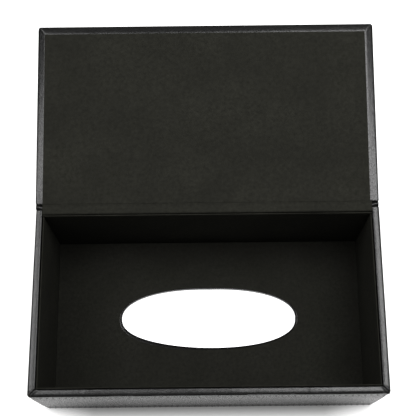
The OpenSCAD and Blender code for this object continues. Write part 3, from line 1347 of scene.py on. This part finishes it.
def stitch_line(sheet, path, out):
    """Stitches along a path of points, all on one flat surface."""
    lengths = [(b - a).length for a, b in zip(path, path[1:])]
    total = sum(lengths)
    step = stitch_step(total)
    for i in range(round(total / step)):
        run = (i + 0.5) * step
        k = 0
        while run > lengths[k]:
            run -= lengths[k]
            k += 1
        along = (path[k + 1] - path[k]).normalized()
        add_stitch(sheet, path[k] + along * run, along, Vector(out))


def ring_path(inset, height):
    """A rectangle on the panel, at an inset from its edges."""
    x, y = half_w - inset, half_d - inset
    return [Vector(p + (height,)) for p in [(-x, -y), (x, -y), (x, y), (-x, y), (-x, -y)]]


def box_stitches():
    """Two rows on each wall, and one round the panel and one round the slot."""
    sheet = bmesh.new()
    end, sunk = row_end, stitch_sunk - puff
    for height in (low_row, high_row):
        for side in (-1, 1):
            x = side * (half_w - sunk)
            stitch_line(sheet, [Vector((x, -half_d + end, height)),
                                Vector((x, half_d - end, height))], (side, 0, 0))
        for side in (-1, 1):
            y = side * (half_d - sunk)
            stitch_line(sheet, [Vector((-half_w + end, y, height)),
                                Vector((half_w - end, y, height))], (0, side, 0))
    stitch_line(sheet, ring_path(lid_row, panel_thread_z), (0, 0, -1))
    oval = [oval_point(lid_row, math.tau * i / 192).to_3d() for i in range(193)]
    stitch_line(sheet, [p + Vector((0, 0, panel_thread_z)) for p in oval], (0, 0, -1))
    piece = make_piece("box_stitching", sheet, None, thread)
    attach(piece, "box")


def lid_stitches():
    """One row along the three free edges of the lid."""
    sheet = bmesh.new()
    x, y = half_w - lid_row, half_d - lid_row
    z = lid_high.z - lid_thread_in
    rear = lid_high.y - lid_row_end
    stitch_line(sheet, [Vector((-x, rear, z)), Vector((-x, -y, z))], (0, 0, 1))
    stitch_line(sheet, [Vector((-x, -y, z)), Vector((x, -y, z))], (0, 0, 1))
    stitch_line(sheet, [Vector((x, -y, z)), Vector((x, rear, z))], (0, 0, 1))
    piece = make_piece("lid_stitching", sheet, None, thread, 0, to_open)
    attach(piece, "lid")


box_stitches()
lid_stitches()

# %% [markdown]
# ## The floor
#
# The cover stands on a plain pale floor. The page behind it is pure white, and a white floor
# could be had by more light, but that would grey the black leatherette. So the floor glows
# white to the camera and to reflections only, and gives no more light to the object for
# that. Close to the box it hardly glows, so that the shadow stays there. Under the box it
# glows, because the slot is white in the photograph. The floor is so large that its edge is
# out of every picture taken from above.

# %% The floor
floor_half = 90.0
# The glow paints the shape of the shadow: over 18 mm from the foot it rises from almost nothing, and
# towards the ends of the box it starts sooner, so the shadow there is lighter.
end_zone, end_extra = 36 * mm, 9 * mm
foot_inset = 5 * mm
shadow_wide, glow_near, glow_far = 18 * mm, 0.06, 0.85


def seen_directly(tree):
    """1 for camera, mirror and glass rays, and 0 for the rays that carry light."""
    rays = add_node(tree, "ShaderNodeLightPath").outputs
    seen = add_node(tree, "ShaderNodeMath", {
        0: rays["Is Camera Ray"], 1: rays["Is Glossy Ray"],
    }, operation="MAXIMUM")
    return add_node(tree, "ShaderNodeMath", {
        0: seen.outputs[0], 1: rays["Is Transmission Ray"],
    }, operation="MAXIMUM").outputs[0]


def past_the_foot(tree):
    """Distance from the box's foot, a little more at its ends, and 1 under the box."""
    place = add_node(tree, "ShaderNodeTexCoord").outputs["Object"]
    # The floor is folded on its middle, so that one corner stands for all four.
    one_corner = add_node(tree, "ShaderNodeVectorMath", {0: place}, operation="ABSOLUTE")
    past = add_node(tree, "ShaderNodeVectorMath", {
        0: one_corner.outputs["Vector"], 1: (half_w, half_d, 0),
    }, operation="SUBTRACT").outputs["Vector"]
    outside = add_node(tree, "ShaderNodeVectorMath", {0: past, 1: (0, 0, 0)}, operation="MAXIMUM")
    direct = add_node(tree, "ShaderNodeVectorMath", {
        0: outside.outputs["Vector"],
    }, operation="LENGTH")
    sides = add_node(tree, "ShaderNodeSeparateXYZ", {0: past}).outputs
    at_end = add_node(tree, "ShaderNodeMapRange", {
        "Value": sides["X"], "From Min": -end_zone, "From Max": 0.0, "To Max": end_extra,
    })
    distance = add_node(tree, "ShaderNodeMath", {
        0: direct.outputs["Value"], 1: at_end.outputs["Result"],
    }, operation="ADD")
    nearest = add_node(tree, "ShaderNodeMath", {0: sides["X"], 1: sides["Y"]}, operation="MAXIMUM")
    under = add_node(tree, "ShaderNodeMath", {
        0: nearest.outputs[0], 1: -foot_inset,
    }, operation="LESS_THAN")
    return distance.outputs[0], under.outputs[0]


def pale_floor():
    """Pale matt paint, with a painted glow for the camera and reflections that makes it look white
    from a little way off the box, and under it.
    """
    made, tree, output = new_material("pale_floor")
    distance, under = past_the_foot(tree)
    clear = add_node(tree, "ShaderNodeMapRange", {
        "Value": distance, "From Min": 0.0, "From Max": shadow_wide,
        "To Min": glow_near, "To Max": glow_far,
    }, interpolation_type="SMOOTHSTEP")
    lift = add_node(tree, "ShaderNodeMath", {
        0: clear.outputs["Result"], 1: under,
    }, operation="MAXIMUM")
    glow = add_node(tree, "ShaderNodeMath", {
        0: lift.outputs[0], 1: seen_directly(tree),
    }, operation="MULTIPLY")
    page = add_node(tree, "ShaderNodeEmission", {
        "Color": (1, 1, 1, 1), "Strength": glow.outputs[0],
    })
    paint = add_node(tree, "ShaderNodeBsdfDiffuse", {"Color": linear("#cfcfce")})
    both = add_node(tree, "ShaderNodeAddShader", {0: page.outputs[0], 1: paint.outputs[0]})
    tree.links.new(both.outputs[0], output.inputs["Surface"])
    return made


floor_mesh = bpy.data.meshes.new("floor")
floor_mesh.from_pydata([
    (-floor_half, -floor_half, 0), (floor_half, -floor_half, 0),
    (floor_half, floor_half, 0), (-floor_half, floor_half, 0),
], [], [(0, 1, 2, 3)])
floor_mesh.materials.append(pale_floor())
floor = bpy.data.objects.new("floor", floor_mesh)
bpy.context.scene.collection.objects.link(floor)
print("floor, m:", 2 * floor_half)

# %% [markdown]
# ## The studio and its lamps
#
# Two softboxes hang above the cover, to the left and to the right and a little behind. So
# the rims and the lid get soft light from above, and the front wall shows only what the
# floor and the studio throw back, as in the photograph. The studio is a quiet grey, and
# darker below. A picture of a room could light the scene, but a plain gradient leaves no
# shapes in the gloss.

# %% Studio and softboxes
studio_low, studio_high, studio_top = 0.07, 0.32, 0.9
lamp_back = math.radians(10)
lamp_far = 1.3
lamp_wide, lamp_deep = 0.7, 0.62
left_aside, left_glow = math.radians(-24.5), 6.8
right_aside, right_glow = math.radians(18), 9.6


def studio_light():
    """A studio whose walls are darker than its ceiling."""
    made = bpy.data.worlds.new("studio")
    made.use_nodes = True
    tree = made.node_tree
    tree.nodes.clear()
    way = add_node(tree, "ShaderNodeTexCoord").outputs["Generated"]
    height = add_node(tree, "ShaderNodeSeparateXYZ", {0: way}).outputs["Z"]
    grey = add_node(tree, "ShaderNodeMapRange", {
        "Value": height, "From Min": 0.0, "From Max": studio_top,
        "To Min": studio_low, "To Max": studio_high,
    })
    light = add_node(tree, "ShaderNodeBackground", {
        "Color": (1, 1, 1, 1), "Strength": grey.outputs["Result"],
    })
    output = tree.nodes.new("ShaderNodeOutputWorld")
    tree.links.new(light.outputs[0], output.inputs["Surface"])
    return made


def softbox(name, aside, glow):
    """A rectangular lamp over the object, at an angle to its side and a little behind."""
    data = bpy.data.lights.new(name, "AREA")
    data.shape = "RECTANGLE"
    data.size, data.size_y = lamp_wide, lamp_deep
    data.energy = glow * math.pi * lamp_wide * lamp_deep
    lamp = bpy.data.objects.new(name, data)
    lamp.location = lamp_far * Vector((
        math.sin(aside), math.sin(lamp_back) * math.cos(aside),
        math.cos(lamp_back) * math.cos(aside)))
    lamp.rotation_euler = (-lamp.location).to_track_quat("-Z", "Y").to_euler()
    bpy.context.scene.collection.objects.link(lamp)
    print(name, "watts:", round(data.energy, 1))


bpy.context.scene.world = studio_light()
softbox("left_softbox", left_aside, left_glow)
softbox("right_softbox", right_aside, right_glow)
